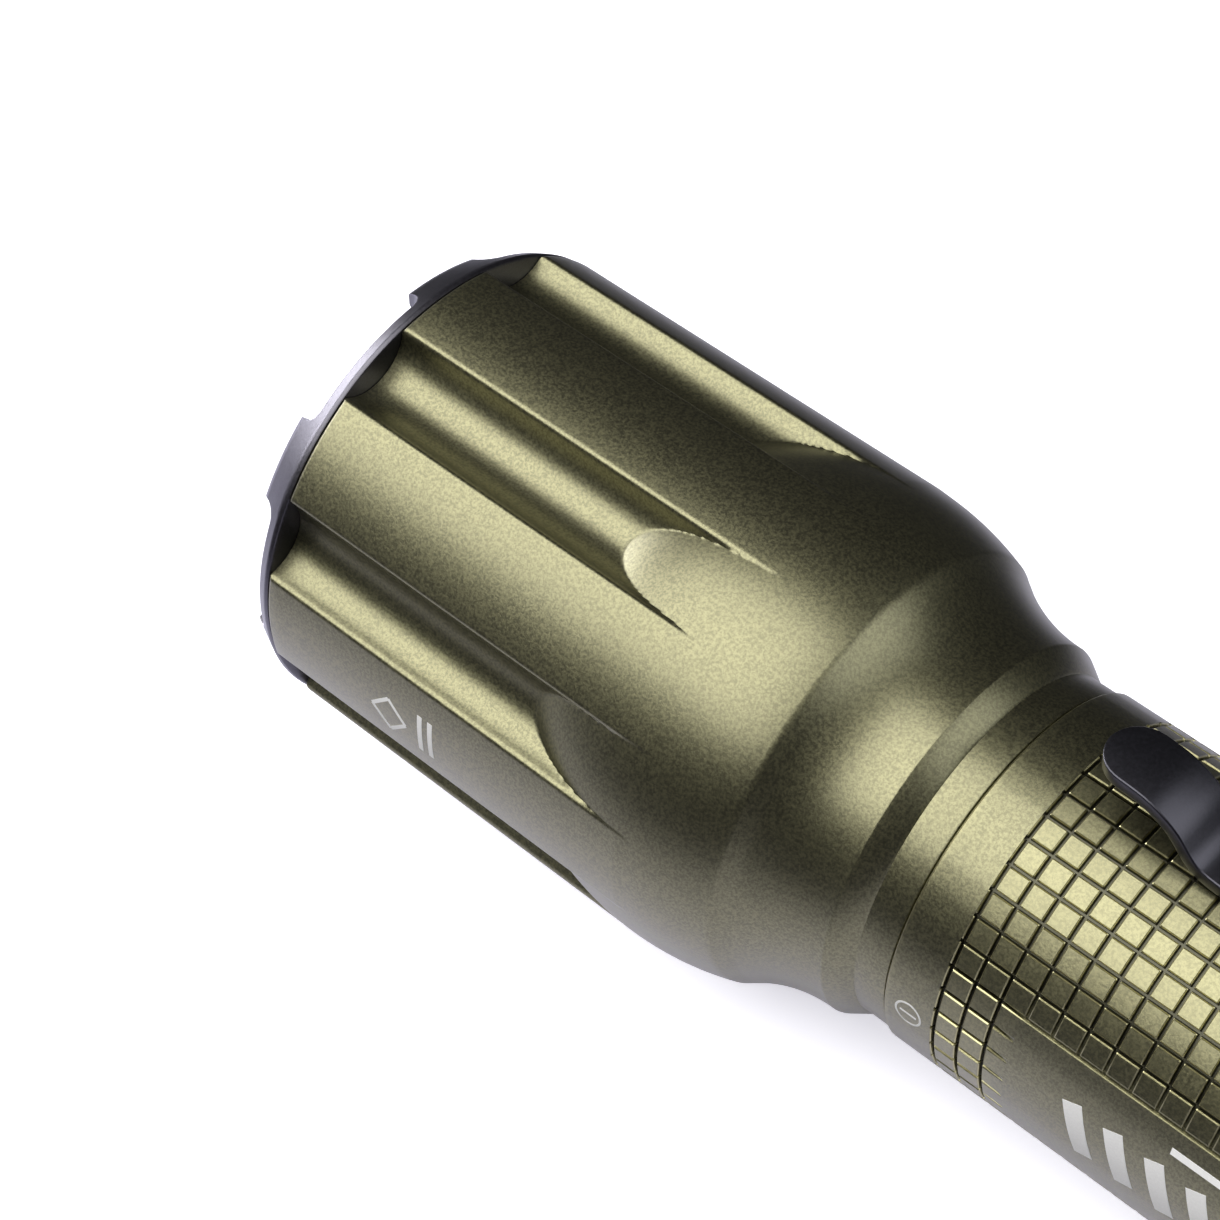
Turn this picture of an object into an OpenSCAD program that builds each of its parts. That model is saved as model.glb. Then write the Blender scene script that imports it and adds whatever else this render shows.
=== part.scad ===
// Tactical flashlight for one 18650 cell.
// The beam points along -X. The pocket clip is on +Z and the smooth panel on -Y.
// The origin is on the light's axis, in the middle of the smooth band behind the head that a
// ring mount clamps.

/* [Body] */
// Diameter of the grip tube and the tail cap
body_d = 25.4; // [25.4:0.1:26.4]
// Length from the back of the head to the end of the tail
grip_len = 90; // [90:1:94]
// Length of the tail cap, with its two horns
cap_len = 24; // [24:0.5:25]

/* [Head] */
// Diameter of the head over its lands
head_d = 34.5; // [34.5:0.1:36]
// Length of the head, from the tube to the bezel
head_len = 48.45; // [48:0.05:50]
// Number of cooling flutes
flute_count = 8; // [6:1:9]
// Width of a flute where it meets the outside of the head
flute_w = 5.4; // [4.5:0.1:5.8]
// Depth of a flute
flute_deep = 2.3; // [1.6:0.1:2.4]
// Turn of the flutes about the axis, from the clip towards the panel
flute_turn = 21.5; // [0:0.5:45]

/* [Bezel] */
// Number of teeth in the crown
tooth_count = 6; // [4:1:8]
// Height of the crown in front of the head
crown_len = 2.7; // [2.4:0.1:3.2]
// Depth of the recess between two teeth
recess_deep = 1.45; // [0.8:0.05:1.6]
// Width of one tooth at its root, as an angle
tooth_angle = 21; // [18:1:24]
// Turn of the crown about the axis, from the clip towards the panel
crown_turn = 50.7; // [0:0.1:60]

/* [Clip] */
// Width of the clip's arm
clip_w = 4.5; // [4:0.1:6]
// Thickness of the clip's spring steel
clip_t = 0.9; // [0.8:0.05:1]
// Height of the clip's lifted tip above the axis
clip_tip_h = 17.2; // [16.5:0.1:17.3]
// Distance of the clip's tip behind the head
clip_tip_gap = 5; // [4.5:0.1:7]

/* [Switch] */
// Travel of the tail button
press = 2; // [1.5:0.1:2]
// Radius of the rubber button
boot_r = 6.95; // [6.5:0.05:6.95]
// Radius of the lanyard holes
lanyard_r = 1.25; // [1:0.05:1.25]

/* [Hidden] */

olive = [0.42, 0.42, 0.28];
black = [0.14, 0.14, 0.16];
round_fn = 96;
small_fn = 32;
over = 1;
gap = 0.05;

body_r = body_d / 2;
head_r = head_d / 2;
clamp_band_w = 3.8;
head_back = -clamp_band_w / 2;
tail_end = head_back + grip_len;
head_front = head_back - head_len;

// Threads and seals
neck_r = 10.6;
neck_play = 0.1;
seal_wire_r = 0.5;
seal_r = neck_r + seal_wire_r + 0.02;
seal_groove_r = seal_r + seal_wire_r + 0.04;
seal_groove_w = 1.2;
seal_at = 1.6;
front_neck = 10.4;
rear_neck = 6.5;
cell_bore_r = 9.4;

// Head, all positions along the axis from the back of the head
collar_r = 12.45;
flange_r = 13.6;
collar_len = 2.1;
flange_back = 2.45;
flange_front = 4.05;
cove_front = 10.05;
cove_front_r = 15.35;
shoulder = 10.95;
dome_top = 18;
dome_arc = 21;
dome_reach = 30;
head_edge = 0.35;
head_bore_r = 14.05;
window_r = 12.7;
sink_bore_r = 12;
sink_front = 20;
sink_back = 10.5;

// Light engine
lens_r = 13.9;
lens_t = 2.3;
lens_back = head_back - 41.35;
oring_wire_r = 0.56;
oring_r = 13.35;
focal = 2.18;
vertex = head_back - 20.8;
mirror_front = head_back - 41.3;
mirror_rim_r = 13.9;
mirror_hole = head_back - 22.25;
board_front = head_back - 21.6;
board_back = head_back - sink_front;
board_r = 10;
mirror_steps = 22;
led_side = 3.45;
led_t = 0.55;
led_dome_r = 1.5;
gasket_r = 4.9;
sink_r = 11.95;
sink_plate = 2.5;
pocket_r = 10;
driver_t = 1.6;
driver_front = head_back - 13.2;
wire_r = 0.55;
wire_at = 6.6;
screw_at = 7.4;
screw_r = 0.8;

// Cell
cell_r = 9.2;
cell_len = 68.5;
cell_front = head_back - 4.2;
wrapper_t = 0.12;
button_r = 2.9;
button_t = 1.2;

// Tail, positions along the axis
tube_back = tail_end - cap_len;
cap_front = tube_back + 0.15;
cap_bore_r = neck_r + neck_play;
cavity_r = 10;
cavity_front = tube_back + rear_neck + 0.05;
rim_floor = tail_end - 4.5;
wall_front = tail_end - 5.95;
boot_open_r = 7.1;
horn_w = 9;
lanyard_at = 10.6;
lanyard_x = tail_end - 2.4;
flange_t = 1;
housing_front = tail_end - 14.1;
housing_back = tail_end - 7.05;
terminal_at = 3.3;
housing_wall = 0.8;
switch_board_front = tail_end - 15.55;
ring_front = tail_end - 17.4;
stem_r = 3;
stem_collar_r = 4;
stem_collar_back = housing_back - housing_wall - gap;
stem_collar_t = 1.1;
dome_back = tail_end - 1;
dome_wall = 1.1;
dome_front = tail_end - 4.95;
bridge_t = 0.6;
spring_wire_r = 0.25;

// Clip
band_front = tail_end - 34;
band_back = tail_end - 26.5;
band_groove_r = 12.4;
band_r = band_groove_r + 0.05;
band_out_r = 13.4;
band_gap_angle = 70;
valley_x = head_back + 14.2;
valley_h = body_r + 0.25 + clip_t;
arm_high = 16.2;

// A solid turned about the X axis from points given as [position, radius].
module turned(points, fn = round_fn)
    rotate([0, 90, 0])
        rotate_extrude($fn = fn)
            polygon([for (p = points) [p[1], p[0]]]);

// A ring about the X axis.
module ring(from, to, r_in, r_out, fn = round_fn)
    turned([[from, r_in], [to, r_in], [to, r_out], [from, r_out]], fn);

// A round bar along X.
module bar(from, to, r, fn = round_fn)
    translate([from, 0, 0])
        rotate([0, 90, 0])
            cylinder(h = to - from, r = r, $fn = fn);

// A round rubber ring about the X axis.
module o_ring(at, r, wire_r)
    translate([at, 0, 0])
        rotate([0, 90, 0])
            rotate_extrude($fn = round_fn)
                translate([r, 0])
                    circle(r = wire_r, $fn = small_fn);

// Points round one section of a coil spring's wire.
function coil_ring(from, len, r1, r2, wire_r, turns, t, sides) =
    let (a = 360 * turns * t, r = r1 + (r2 - r1) * t, x = from + wire_r + (len - 2 * wire_r) * t)
    [for (k = [0 : sides - 1])
        let (b = 360 * k / sides, rr = r + wire_r * cos(b))
        [x + wire_r * sin(b), rr * cos(a), rr * sin(a)]];

// A coil spring along X whose radius goes from r1 to r2.
module coil(from, len, r1, r2, wire_r, turns, sides = 8, steps = 20) {
    rings = round(turns * steps);
    points = [for (i = [0 : rings]) each coil_ring(from, len, r1, r2, wire_r, turns, i / rings, sides)];
    walls = [for (i = [0 : rings - 1], k = [0 : sides - 1])
        let (k2 = (k + 1) % sides)
        [i * sides + k, i * sides + k2, (i + 1) * sides + k2, (i + 1) * sides + k]];
    first = [[for (k = [sides - 1 : -1 : 0]) k]];
    last = [[for (k = [0 : sides - 1]) rings * sides + k]];
    polyhedron(concat(points), concat(walls, first, last), convexity = 10);
}

// Radius of the domed shoulder at a distance in front of the head's back.
function dome_h(s) = head_r - dome_arc + sqrt(dome_arc * dome_arc - (s - dome_top) * (s - dome_top));

// Radius of the mirror at a position along the axis.
function mirror_r(x) = sqrt(4 * focal * (vertex - x));

// One flute cutter, a long round bar.
module flute_cutter() {
    half = flute_w / 2;
    chord = sqrt(head_r * head_r - half * half);
    deep = chord - (head_r - flute_deep);
    r = (half * half + deep * deep) / (2 * deep);
    translate([0, 0, head_r - flute_deep + r])
        bar(head_front - over, head_back - dome_top + over, r, 64);
}

module head_shell() color(olive) {
    barrel_back = head_back - dome_top;
    dome_from = head_back - dome_reach;
    cove = flange_front - cove_front;
    rise = cove_front_r - flange_r;
    cove_r = (cove * cove + rise * rise) / (2 * rise);
    difference() {
        union() {
            difference() {
                turned([[head_front, 0], [barrel_back, 0], [barrel_back, head_r],
                    [head_front + head_edge, head_r], [head_front, head_r - head_edge]]);
                for (i = [0 : flute_count - 1])
                    rotate([flute_turn + i * 360 / flute_count, 0, 0])
                        flute_cutter();
            }
            turned(concat(
                [[dome_from, 0]],
                [for (i = [0 : 18])
                    let (s = dome_reach + (shoulder - dome_reach) * i / 18)
                    [head_back - s, dome_h(s)]],
                [for (i = [0 : 10])
                    let (s = cove_front + (flange_front - cove_front) * i / 10, d = s - flange_front)
                    [head_back - s, flange_r + cove_r - sqrt(cove_r * cove_r - d * d)]],
                [[head_back - flange_back, collar_r + 0.1], [head_back - collar_len, collar_r],
                    [head_back - gap, collar_r], [head_back - gap, 0]]
            ));
        }
        bar(head_front - over, head_back - sink_front, head_bore_r);
        bar(head_front - over, head_back - sink_back, sink_bore_r);
        bar(head_front - over, head_back + over, neck_r + neck_play);
        ring(head_back - seal_at - seal_groove_w / 2, head_back - seal_at + seal_groove_w / 2, neck_r, seal_groove_r);
    }
}

// The outline that is cut between two teeth: a slot with rounded inner corners.
module recess_outline(w, deep, fillet) {
    translate([-deep, -(w / 2 - fillet)])
        square([deep, w - 2 * fillet]);
    translate([-deep, -w / 2])
        square([deep - fillet, w]);
    for (side = [-1, 1])
        translate([-fillet, side * (w / 2 - fillet)])
            circle(r = fillet, $fn = small_fn);
}

module bezel_ring() color(black) {
    front = head_front - crown_len;
    seat = head_front - gap;
    sleeve_back = lens_back - lens_t - 2 * oring_wire_r - gap;
    tip_r = head_r - 1.2;
    recess_w = 2 * tip_r * sin((360 / tooth_count - tooth_angle) / 2);
    difference() {
        turned([[front, tip_r - 1.1], [front, tip_r],
            [head_front - 1.25, head_r - 0.55], [seat - 0.3, head_r - 0.1],
            [seat, head_r - 0.3], [seat, head_bore_r - gap], [sleeve_back, head_bore_r - gap],
            [sleeve_back, window_r], [head_front + 1, window_r], [front + recess_deep, window_r + 1.5]]);
        for (i = [0 : tooth_count - 1])
            rotate([crown_turn + (i + 0.5) * 360 / tooth_count, 0, 0])
                translate([front + recess_deep, 0, 10])
                    linear_extrude(height = 10)
                        recess_outline(recess_w, recess_deep + over, 1.1);
    }
}

module lens_oring() color([0.1, 0.1, 0.1])
    o_ring(lens_back - lens_t - oring_wire_r - 0.01, oring_r, oring_wire_r - 0.01);

module front_lens() color([0.8, 0.9, 0.95, 0.4]) {
    edge = 0.2;
    front = lens_back - lens_t;
    turned([[front, 0], [lens_back, 0], [lens_back, lens_r - edge], [lens_back - edge, lens_r],
        [front + edge, lens_r], [front, lens_r - edge]]);
}

module reflector() color([0.85, 0.85, 0.87]) {
    wall = 1.2;
    skirt_front = head_back - 24;
    flange = head_back - 39.6;
    roof = head_back - 22.8;
    turned(concat(
        [for (i = [0 : mirror_steps])
            let (rim = mirror_r(mirror_front))
            let (r = rim + (mirror_r(mirror_hole) - rim) * i / mirror_steps)
            [vertex - r * r / (4 * focal), r]],
        [[mirror_hole, gasket_r + 0.3], [roof, gasket_r + 0.3], [roof, board_r + 0.3],
            [board_back - gap, board_r + 0.3], [board_back - gap, mirror_rim_r],
            [skirt_front, mirror_rim_r], [skirt_front, mirror_r(skirt_front) + wall]],
        [for (i = [1 : 10])
            let (x = skirt_front + (flange - skirt_front) * i / 10)
            [x, min(mirror_r(x) + wall, mirror_rim_r - 0.1)]],
        [[flange, mirror_rim_r], [mirror_front, mirror_rim_r]]
    ));
}

module led_gasket() color([0.9, 0.9, 0.88])
    difference() {
        bar(mirror_hole + gap, board_front - gap / 5, gasket_r);
        translate([mirror_hole - over, -led_side / 2 - gap, -led_side / 2 - gap])
            cube([3 * over, led_side + 2 * gap, led_side + 2 * gap]);
    }

module led_emitter() color([0.95, 0.85, 0.3]) {
    translate([board_front - led_t, -led_side / 2, -led_side / 2])
        cube([led_t, led_side, led_side]);
    difference() {
        translate([board_front - led_t, 0, 0])
            sphere(r = led_dome_r, $fn = 48);
        translate([board_front - led_t, -2 * over, -2 * over])
            cube(4 * over);
    }
}

module led_board() color([0.95, 0.95, 0.9])
    difference() {
        bar(board_front, board_back - gap / 5, board_r);
        for (a = [0, 180])
            rotate([a, 0, 0]) {
                translate([0, wire_at, 0])
                    bar(board_front - over, board_back + over, wire_r + 0.15, small_fn);
                translate([0, 0, screw_at])
                    bar(board_front - over, board_back + over, screw_r + 0.1, small_fn);
            }
    }

module led_board_screws() color([0.7, 0.7, 0.7])
    for (a = [0, 180])
        rotate([a, 0, 0])
            translate([0, 0, screw_at])
                difference() {
                    union() {
                        bar(board_front - 0.7, board_front - gap / 5, 1.5, small_fn);
                        bar(board_front - gap, board_back + 1.9, screw_r, small_fn);
                    }
                    for (turn = [0, 90])
                        rotate([turn, 0, 0])
                            translate([board_front - over, -0.15, -0.8])
                                cube([0.7, 0.3, 1.6]);
                }

module led_wires() color([0.7, 0.1, 0.1])
    for (a = [0, 180])
        rotate([a, 0, 0])
            translate([0, wire_at, 0]) {
                bar(board_front - 0.6, driver_front - gap, wire_r, small_fn);
                translate([board_front - 0.6, -0.8, 0])
                    rotate([-90, 0, 0])
                        cylinder(h = 0.8, r = wire_r, $fn = small_fn);
                translate([board_front - 0.6, 0, 0])
                    sphere(r = wire_r, $fn = small_fn);
            }

module heat_sink() color([0.72, 0.7, 0.66])
    difference() {
        turned([[board_back, 0], [board_back, sink_r], [head_back - sink_back - gap, sink_r],
            [head_back - sink_back - gap, pocket_r], [board_back + sink_plate, pocket_r],
            [board_back + sink_plate, 0]]);
        for (a = [0, 180])
            rotate([a, 0, 0]) {
                translate([0, wire_at, 0])
                    bar(board_back - over, board_back + sink_plate + over, wire_r + 0.15, small_fn);
                translate([0, 0, screw_at])
                    bar(board_back - over, board_back + 2, screw_r + gap, small_fn);
            }
    }

module driver_board() color([0.1, 0.4, 0.2])
    bar(driver_front, driver_front + driver_t, pocket_r - gap);

module driver_chip() color([0.1, 0.1, 0.1])
    translate([driver_front - 1.1, -4.8, -2.5])
        cube([1.09, 3.8, 5]);

module driver_coil() color([0.3, 0.3, 0.32])
    difference() {
        translate([driver_front - 2.6, 0.6, -2.6])
            cube([2.59, 5, 5.2]);
        translate([0, 3.1, 0])
            ring(driver_front - 3, driver_front - 2.3, 1.5, 1.9, small_fn);
    }

module driver_ring() color([0.75, 0.6, 0.3])
    difference() {
        ring(driver_front + driver_t + gap / 5, head_back - sink_back - 2 * gap, 8.2, pocket_r - gap);
        for (a = [0, 180])
            rotate([a, 0, 0])
                translate([head_back - sink_back - 0.7, -0.6, 8])
                    cube([2, 1.2, 3]);
    }

module head_spring() color([0.8, 0.65, 0.3])
    coil(driver_front + driver_t + gap / 5, cell_front - button_t - driver_front - driver_t - gap,
        3.6, 2.1, 0.35, 3);

module head_seal_ring() color([0.15, 0.15, 0.15])
    o_ring(head_back - seal_at, seal_r, seal_wire_r);

module body_tube() color(olive) {
    chamfer = 0.35;
    difference() {
        turned([[head_back - front_neck, cell_bore_r], [head_back - front_neck, neck_r - 0.5],
            [head_back - front_neck + 0.5, neck_r], [head_back, neck_r], [head_back, body_r - chamfer],
            [head_back + chamfer, body_r], [band_front - gap, body_r], [band_front - gap, band_groove_r],
            [band_back + gap, band_groove_r], [band_back + gap, body_r], [tube_back - chamfer, body_r],
            [tube_back, body_r - chamfer], [tube_back, neck_r], [tube_back + rear_neck - 0.5, neck_r],
            [tube_back + rear_neck, neck_r - 0.5], [tube_back + rear_neck, cell_bore_r]]);
    }
}

module battery_cell() color([0.75, 0.76, 0.78]) {
    bar(cell_front, cell_front + cell_len, cell_r - wrapper_t - 0.01);
    bar(cell_front - button_t, cell_front + gap, button_r, small_fn);
}

module battery_wrapper() color([0.15, 0.3, 0.5])
    ring(cell_front + 0.3, cell_front + cell_len - 0.3, cell_r - wrapper_t, cell_r);

module clip_band() color(black)
    difference() {
        ring(band_front, band_back, band_r, band_out_r);
        translate([band_front - over, 0, 0])
            rotate([90 - band_gap_angle / 2 + 180, 0, 0])
                rotate([90, 0, 90])
                    linear_extrude(height = band_back - band_front + 2 * over)
                        polygon([[0, 0], [20, 0],
                            [20 * cos(band_gap_angle / 2), 20 * sin(band_gap_angle / 2)],
                            [20 * cos(band_gap_angle), 20 * sin(band_gap_angle)]]);
    }

// Height of the top of the clip's arm: flat at the band, high in the middle, low at the valley,
// lifted at the tip.
arm_line = [
    [band_front - 0.1, band_out_r + 0.25], [band_front - 1.4, band_out_r + 0.5],
    [band_front - 3, band_out_r + 1.5], [band_front - 4.6, arm_high - 0.5],
    [band_front - 6.5, arm_high], [valley_x + 9, valley_h + 0.75],
    [valley_x + 3, valley_h + 0.12], [valley_x + 1, valley_h], [valley_x - 0.8, valley_h + 0.25],
    [valley_x - 2.2, valley_h + 1.25], [valley_x - 3.6, clip_tip_h - 0.75], [valley_x - 5, clip_tip_h - 0.12],
    [valley_x - 6.4, clip_tip_h], [head_back + clip_tip_gap, clip_tip_h - 0.05]
];

module clip_arm() color(black)
    intersection() {
        rotate([90, 0, 0])
            translate([0, 0, -clip_w / 2])
                linear_extrude(height = clip_w)
                    polygon(concat(arm_line,
                        [for (i = [len(arm_line) - 1 : -1 : 0]) arm_line[i] - [0, clip_t]]));
        union() {
            translate([head_back + clip_tip_gap + clip_w / 2, -clip_w, 0])
                cube([60, 2 * clip_w, 30]);
            translate([head_back + clip_tip_gap + clip_w / 2, 0, 0])
                cylinder(h = 30, r = clip_w / 2, $fn = 48);
        }
    }

module tail_seal_ring() color([0.15, 0.15, 0.15])
    o_ring(tube_back + seal_at, seal_r, seal_wire_r);

module tail_cap() color(olive) {
    chamfer = 0.5;
    difference() {
        turned([[cap_front, 0], [cap_front, body_r - chamfer], [cap_front + chamfer, body_r],
            [tail_end - chamfer, body_r], [tail_end, body_r - chamfer], [tail_end, 0]]);
        bar(cap_front - over, cavity_front, cap_bore_r);
        bar(cap_front - over, wall_front, cavity_r);
        bar(cap_front - over, tail_end + over, boot_open_r);
        bar(rim_floor, tail_end + over, boot_open_r + 1.4);
        ring(tube_back + seal_at - seal_groove_w / 2, tube_back + seal_at + seal_groove_w / 2, neck_r, seal_groove_r);
        for (side = [-1, 1])
            translate([rim_floor, side * (horn_w / 2 + body_r) - body_r, -body_r - over])
                cube([tail_end + over - rim_floor, 2 * body_r, 2 * (body_r + over)]);
        for (side = [-1, 1])
            translate([lanyard_x, 0, side * lanyard_at])
                rotate([90, 0, 0])
                    cylinder(h = horn_w + 2 * over, r = lanyard_r, center = true, $fn = 48);
    }
}

module switch_ring() color([0.75, 0.75, 0.76])
    difference() {
        ring(ring_front, switch_board_front - gap / 5, 7.6, cavity_r - gap);
        for (a = [0, 180])
            rotate([a, 0, 0])
                translate([ring_front - over, -0.7, 7.2])
                    cube([1.7, 1.4, 3]);
    }

module switch_board() color([0.1, 0.4, 0.2])
    difference() {
        bar(switch_board_front, housing_front - gap / 5, cavity_r - gap);
        for (side = [-1, 1])
            translate([0, side * terminal_at, 0])
                bar(switch_board_front - over, housing_front + over, 0.55, small_fn);
    }

module tail_spring() color([0.8, 0.65, 0.3])
    coil(cell_front + cell_len + gap, switch_board_front - cell_front - cell_len - 2 * gap,
        4.2, 6.6, 0.45, 5, 8, 20);

module switch_housing() color([0.15, 0.15, 0.16])
    difference() {
        bar(housing_front, housing_back, cavity_r - 0.1);
        bar(housing_front + housing_wall, housing_back - housing_wall, stem_collar_r + 0.2);
        bar(housing_back - housing_wall - over, housing_back + over, stem_r + 0.06);
        for (side = [-1, 1])
            translate([0, side * terminal_at, 0])
                bar(housing_front - over, housing_front + over, 0.55, small_fn);
    }

module switch_terminals() color([0.85, 0.6, 0.3])
    for (side = [-1, 1])
        translate([0, side * terminal_at, 0])
            bar(switch_board_front + 0.2,
                stem_collar_back - stem_collar_t - bridge_t - press - 2 * gap, 0.5, small_fn);

module return_spring() color([0.75, 0.75, 0.76])
    coil(housing_front + housing_wall + gap / 5,
        stem_collar_back - stem_collar_t - housing_front - housing_wall - gap,
        2.1, 2.1, spring_wire_r, 3.5);

module contact_bridge() color([0.85, 0.6, 0.3])
    ring(stem_collar_back - stem_collar_t - bridge_t, stem_collar_back - stem_collar_t, 2.7, 3.9);

module switch_stem() color([0.9, 0.9, 0.88]) {
    bar(stem_collar_back - stem_collar_t, stem_collar_back, stem_collar_r);
    bar(stem_collar_back - gap, dome_back - dome_wall - gap / 5, stem_r);
}

module boot_flange() color([0.12, 0.12, 0.12])
    ring(wall_front - gap / 5 - flange_t, wall_front - gap / 5, boot_open_r, cavity_r - 0.1);

module boot_dome() color([0.12, 0.12, 0.12]) {
    fillet = 1.6;
    turned(concat(
        [[dome_front, boot_r], [dome_back - fillet, boot_r]],
        [for (i = [1 : 7]) let (a = 90 * i / 8)
            [dome_back - fillet + fillet * sin(a), boot_r - fillet + fillet * cos(a)]],
        [[dome_back, boot_r - fillet], [dome_back, 0], [dome_back - dome_wall, 0],
            [dome_back - dome_wall, boot_r - fillet], [dome_back - dome_wall - 0.6, boot_r - dome_wall],
            [dome_front, boot_r - dome_wall]]
    ));
}

bezel_ring();
lens_oring();
front_lens();
reflector();
led_gasket();
led_emitter();
led_board();
led_board_screws();
led_wires();
heat_sink();
driver_board();
driver_chip();
driver_coil();
driver_ring();
head_spring();
head_shell();
head_seal_ring();
body_tube();
battery_cell();
battery_wrapper();
clip_band();
clip_arm();
tail_seal_ring();
tail_cap();
switch_ring();
switch_board();
tail_spring();
switch_housing();
switch_terminals();
return_spring();
contact_bridge();
switch_stem();
boot_flange();
boot_dome();
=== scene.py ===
import math

import bmesh
import bpy
import numpy as np
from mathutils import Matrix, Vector


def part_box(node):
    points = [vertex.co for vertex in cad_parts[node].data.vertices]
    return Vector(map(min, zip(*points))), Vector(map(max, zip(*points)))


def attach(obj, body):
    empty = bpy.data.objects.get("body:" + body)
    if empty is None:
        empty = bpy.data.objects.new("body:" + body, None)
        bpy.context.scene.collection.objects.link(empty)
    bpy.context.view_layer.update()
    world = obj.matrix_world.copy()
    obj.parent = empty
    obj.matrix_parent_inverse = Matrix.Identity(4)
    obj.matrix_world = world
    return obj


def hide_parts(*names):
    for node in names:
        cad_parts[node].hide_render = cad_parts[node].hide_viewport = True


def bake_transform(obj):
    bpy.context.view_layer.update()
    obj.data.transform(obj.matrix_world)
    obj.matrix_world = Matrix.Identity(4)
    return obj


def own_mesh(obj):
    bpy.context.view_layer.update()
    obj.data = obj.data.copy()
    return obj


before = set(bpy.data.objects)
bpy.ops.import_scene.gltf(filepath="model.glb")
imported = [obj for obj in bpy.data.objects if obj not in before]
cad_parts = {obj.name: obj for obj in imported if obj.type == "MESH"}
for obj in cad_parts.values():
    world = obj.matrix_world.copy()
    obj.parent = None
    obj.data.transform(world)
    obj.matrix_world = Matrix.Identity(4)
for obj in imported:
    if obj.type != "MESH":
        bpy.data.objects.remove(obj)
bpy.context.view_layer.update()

MM = 0.001


def reach(node):
    """Front position, back position and outer radius of a CAD node, in millimetres."""
    low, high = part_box(node)
    return low.x / MM, high.x / MM, high.y / MM


# Places and sizes in millimetres, from the frame where a node's box gives them
HEAD_FRONT, HEAD_BACK, HEAD_R = reach("head_shell")
HEAD_BACK += 0.05
HEAD_LEN = HEAD_BACK - HEAD_FRONT
NECK_FRONT, NECK_BACK, BODY_R = reach("body_tube")
CAP_FRONT, TAIL_END, CAP_R = reach("tail_cap")
CROWN_FRONT = reach("bezel_ring")[0]
BAND_FRONT, BAND_BACK, BAND_OUT_R = reach("clip_band")
TUBE_BACK = CAP_FRONT - 0.15

# Head
COLUMN_STEPS = 720
FLUTES = 8
FLUTE_TURN = 21.5
FLUTE_FLOOR_R = 15.1
FLUTE_CUTTER_R = 3.15
FLUTE_FILLET = 0.4
LAND_END = 17.8
DOME_TOP = 18
DOME_ARC = 21
DOME_DROP = 0.035
DOME_REACH = 30
SHOULDER = 10.95
COVE_FRONT = 10.05
COVE_FRONT_R = 15.35
COVE_BACK = 4.05
FLANGE_R = 13.6
COLLAR_LEN = 2.2
COLLAR_R = 12.45
EDGE_BREAK = 0.3

# Crown
TEETH = 6
CROWN_TURN = 50.7
TOOTH_ANGLE = 21
RECESS_DEEP = 1.45
RECESS_FILLET = 1.1

# Knurl
ROWS_AROUND = 44
RING_PITCH = 1.844
FIRST_RING = 1.9
SECOND_RING = 3.66
GROOVE_DEEP = 0.36
GROOVE_STEPS = ((-0.195, 0), (-0.125, 0.22), (-0.07, 1), (0.07, 1), (0.125, 0.22), (0.195, 0))
# Mark value for each groove depth: pad tops a touch paler, groove bevels pale as partly real abrasion and
# partly a painted highlight, groove floors at -1 for painted shade.
EDGE_WEAR_HIGHLIGHT_SHADE = {0: 0.08, 0.22: 0.8, 1: -1}
PANEL_FRONT = 7.35
PANEL_MIDDLE = 90

# Threads and bores
THREAD_PITCH = 1.2
THREAD_DEEP = 0.5
NECK_R = 10.6
NECK_END_R = 10.0
NECK_EDGE_R = 10.1
CELL_BORE_R = 9.4
THREAD_BORE_R = 10.7
SEAL_BORE_R = 11.6
ENGINE_BORE_R = 12
LENS_BORE_R = 14.05

# Tail cap
HORN_LEN = 4.5
HORN_HALF = 4.5
LANYARD_R = 1.25
LANYARD_FROM_END = 2.4
LANYARD_OUT = 10.6
BOOT_WELL_R = 8.5
BOOT_HOLE_R = 7.1
SWITCH_BORE_R = 10

# Clip
CLIP_WIDTH = 4.5
CLIP_THICK = 0.9
CLIP_STEPS = 240
CLIP_TIP_STEPS = 26
CLIP_BAND_R = 12.45
CLIP_BAND_ENDS = 145
SHEET_EDGE = 0.14


# ---------------------------------------------------------------- mesh helpers

def around(x, r, angle):
    """Points at position x and radius r, at an angle in degrees about the axis."""
    x, r, a = np.broadcast_arrays(x, r, np.radians(angle))
    return np.stack([x, -r * np.sin(a), r * np.cos(a)], -1)


def add_object(name, mesh, body):
    """An object that rides on a CAD body."""
    made = bpy.data.objects.new(name, mesh)
    bpy.context.scene.collection.objects.link(made)
    if body:
        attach(made, body)
    return made


def finish_mesh(mesh, sharp=32):
    """Welds double points, turns the faces outwards and shades the mesh smooth up to an angle."""
    work = bmesh.new()
    work.from_mesh(mesh)
    bmesh.ops.remove_doubles(work, verts=work.verts, dist=1e-7)
    bmesh.ops.recalc_face_normals(work, faces=work.faces)
    work.to_mesh(mesh)
    work.free()
    mesh.shade_smooth()
    mesh.set_sharp_from_angle(angle=math.radians(sharp))


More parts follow.
